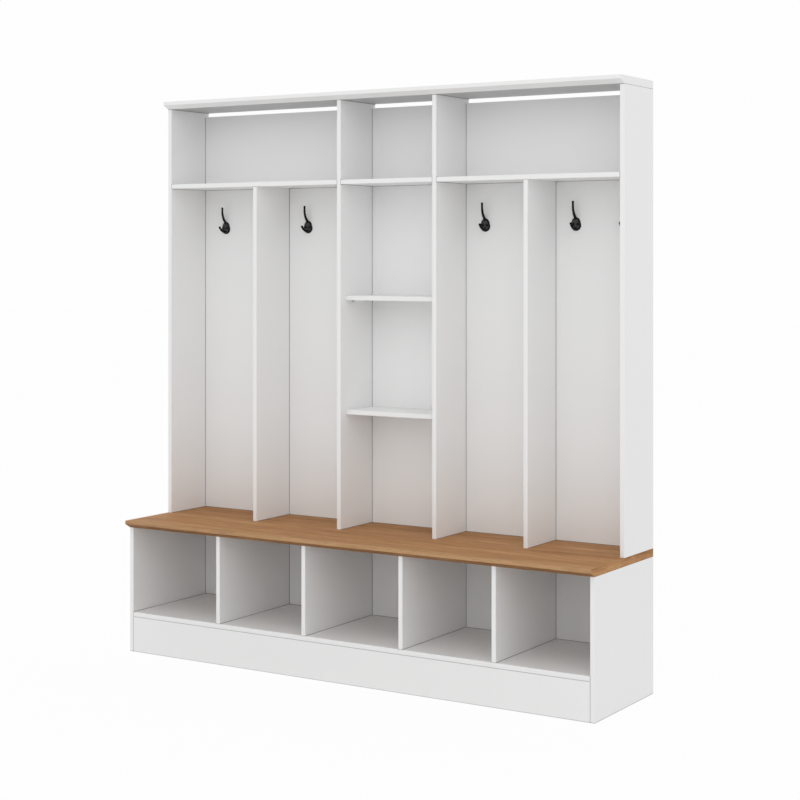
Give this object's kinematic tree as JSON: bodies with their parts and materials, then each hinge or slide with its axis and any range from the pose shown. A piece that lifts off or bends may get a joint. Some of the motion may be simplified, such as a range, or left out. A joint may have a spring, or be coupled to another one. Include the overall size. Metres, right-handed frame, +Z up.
{
  "type": "hall tree",
  "caption": "White hall tree: a storage bench with open cubbies and a wood-look seat, and a hutch with coat bays, black double hooks, a shelved centre bay and open top cells.",
  "frame": {"origin": "centre of the outline on the floor", "axes": "+Z up, -Y to the front, +X to the right as seen from the front"},
  "size_m": [1.764, 0.438, 1.9],
  "materials": {
    "white_laminate": "white satin laminate on particle board",
    "wood_look": "brown wood-grain laminate, satin",
    "black_casting": "black paint on cast metal, satin",
    "zinc_steel": "zinc plated steel",
    "beech": "bare beech"
  },
  "bodies": {
    "carcass": {"back_screws": "zinc_steel", "bench_back": "white_laminate", "bench_deck": "white_laminate", "bench_divider_1": "white_laminate", "bench_divider_2": "white_laminate", "bench_divider_3": "white_laminate", "bench_divider_4": "white_laminate", "bench_side_left": "white_laminate", "bench_side_right": "white_laminate", "bench_top": "wood_look", "bracket_screws": "zinc_steel", "cam_bolts": "zinc_steel", "cam_discs": "zinc_steel", "coat_hooks": "black_casting", "dowels": "beech", "hook_screws": "black_casting", "hutch_back_centre": "white_laminate", "hutch_back_left": "white_laminate", "hutch_back_right": "white_laminate", "hutch_divider_1": "white_laminate", "hutch_divider_2": "white_laminate", "hutch_divider_3": "white_laminate", "hutch_divider_4": "white_laminate", "hutch_side_left": "white_laminate", "hutch_side_right": "white_laminate", "joining_plates": "zinc_steel", "joint_screws": "zinc_steel", "kick_board": "white_laminate", "plate_screws": "zinc_steel", "plinth_brace_1": "white_laminate", "plinth_brace_2": "white_laminate", "plinth_rear_rail": "white_laminate", "shelf_pins": "zinc_steel", "top_board": "white_laminate", "upper_shelf_centre": "white_laminate", "upper_shelf_left": "white_laminate", "upper_shelf_right": "white_laminate", "wall_bracket_left": "zinc_steel", "wall_bracket_right": "zinc_steel"},
    "lower_shelf": {"centre_shelf_lower": "white_laminate"},
    "upper_shelf": {"centre_shelf_upper": "white_laminate"}
  },
  "joints": [
    {"name": "lower_shelf_draw", "type": "slide", "parent": "carcass", "child": "lower_shelf", "axis": [0, -1, 0], "range_m": [0, 0.2]},
    {"name": "upper_shelf_draw", "type": "slide", "parent": "carcass", "child": "upper_shelf", "axis": [0, -1, 0], "range_m": [0, 0.2]}
  ]
}
